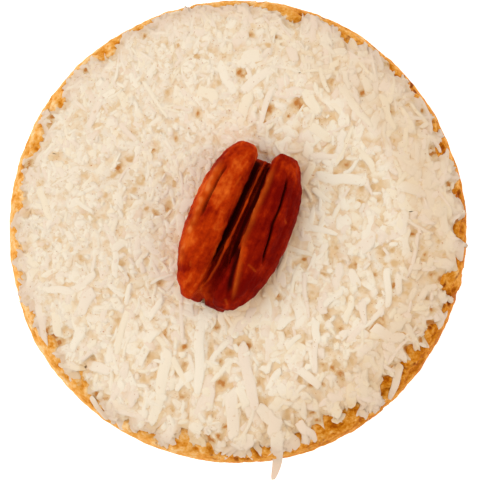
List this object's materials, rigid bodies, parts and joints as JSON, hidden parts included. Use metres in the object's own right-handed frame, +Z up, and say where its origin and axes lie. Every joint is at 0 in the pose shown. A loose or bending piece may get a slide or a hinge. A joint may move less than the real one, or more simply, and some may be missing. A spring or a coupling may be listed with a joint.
{
  "type": "coconut cookie",
  "caption": "Round browned biscuit with a rounded edge, a layer of shredded coconut over its top and a pecan half set in the middle.",
  "frame": {"origin": "on the table, under the middle of the biscuit's flat base", "axes": "+Z up through the middle of the biscuit; +Y towards the upper end of the pecan half, which is turned 23 degrees clockwise from it"},
  "size_m": [0.0746, 0.0754, 0.0205],
  "materials": {
    "crust": "matte",
    "coconut": "matte",
    "pecan": "satin"
  },
  "bodies": {
    "root": {"biscuit": "crust", "coconut_layer": "coconut", "pecan_half": "pecan"}
  },
  "joints": []
}
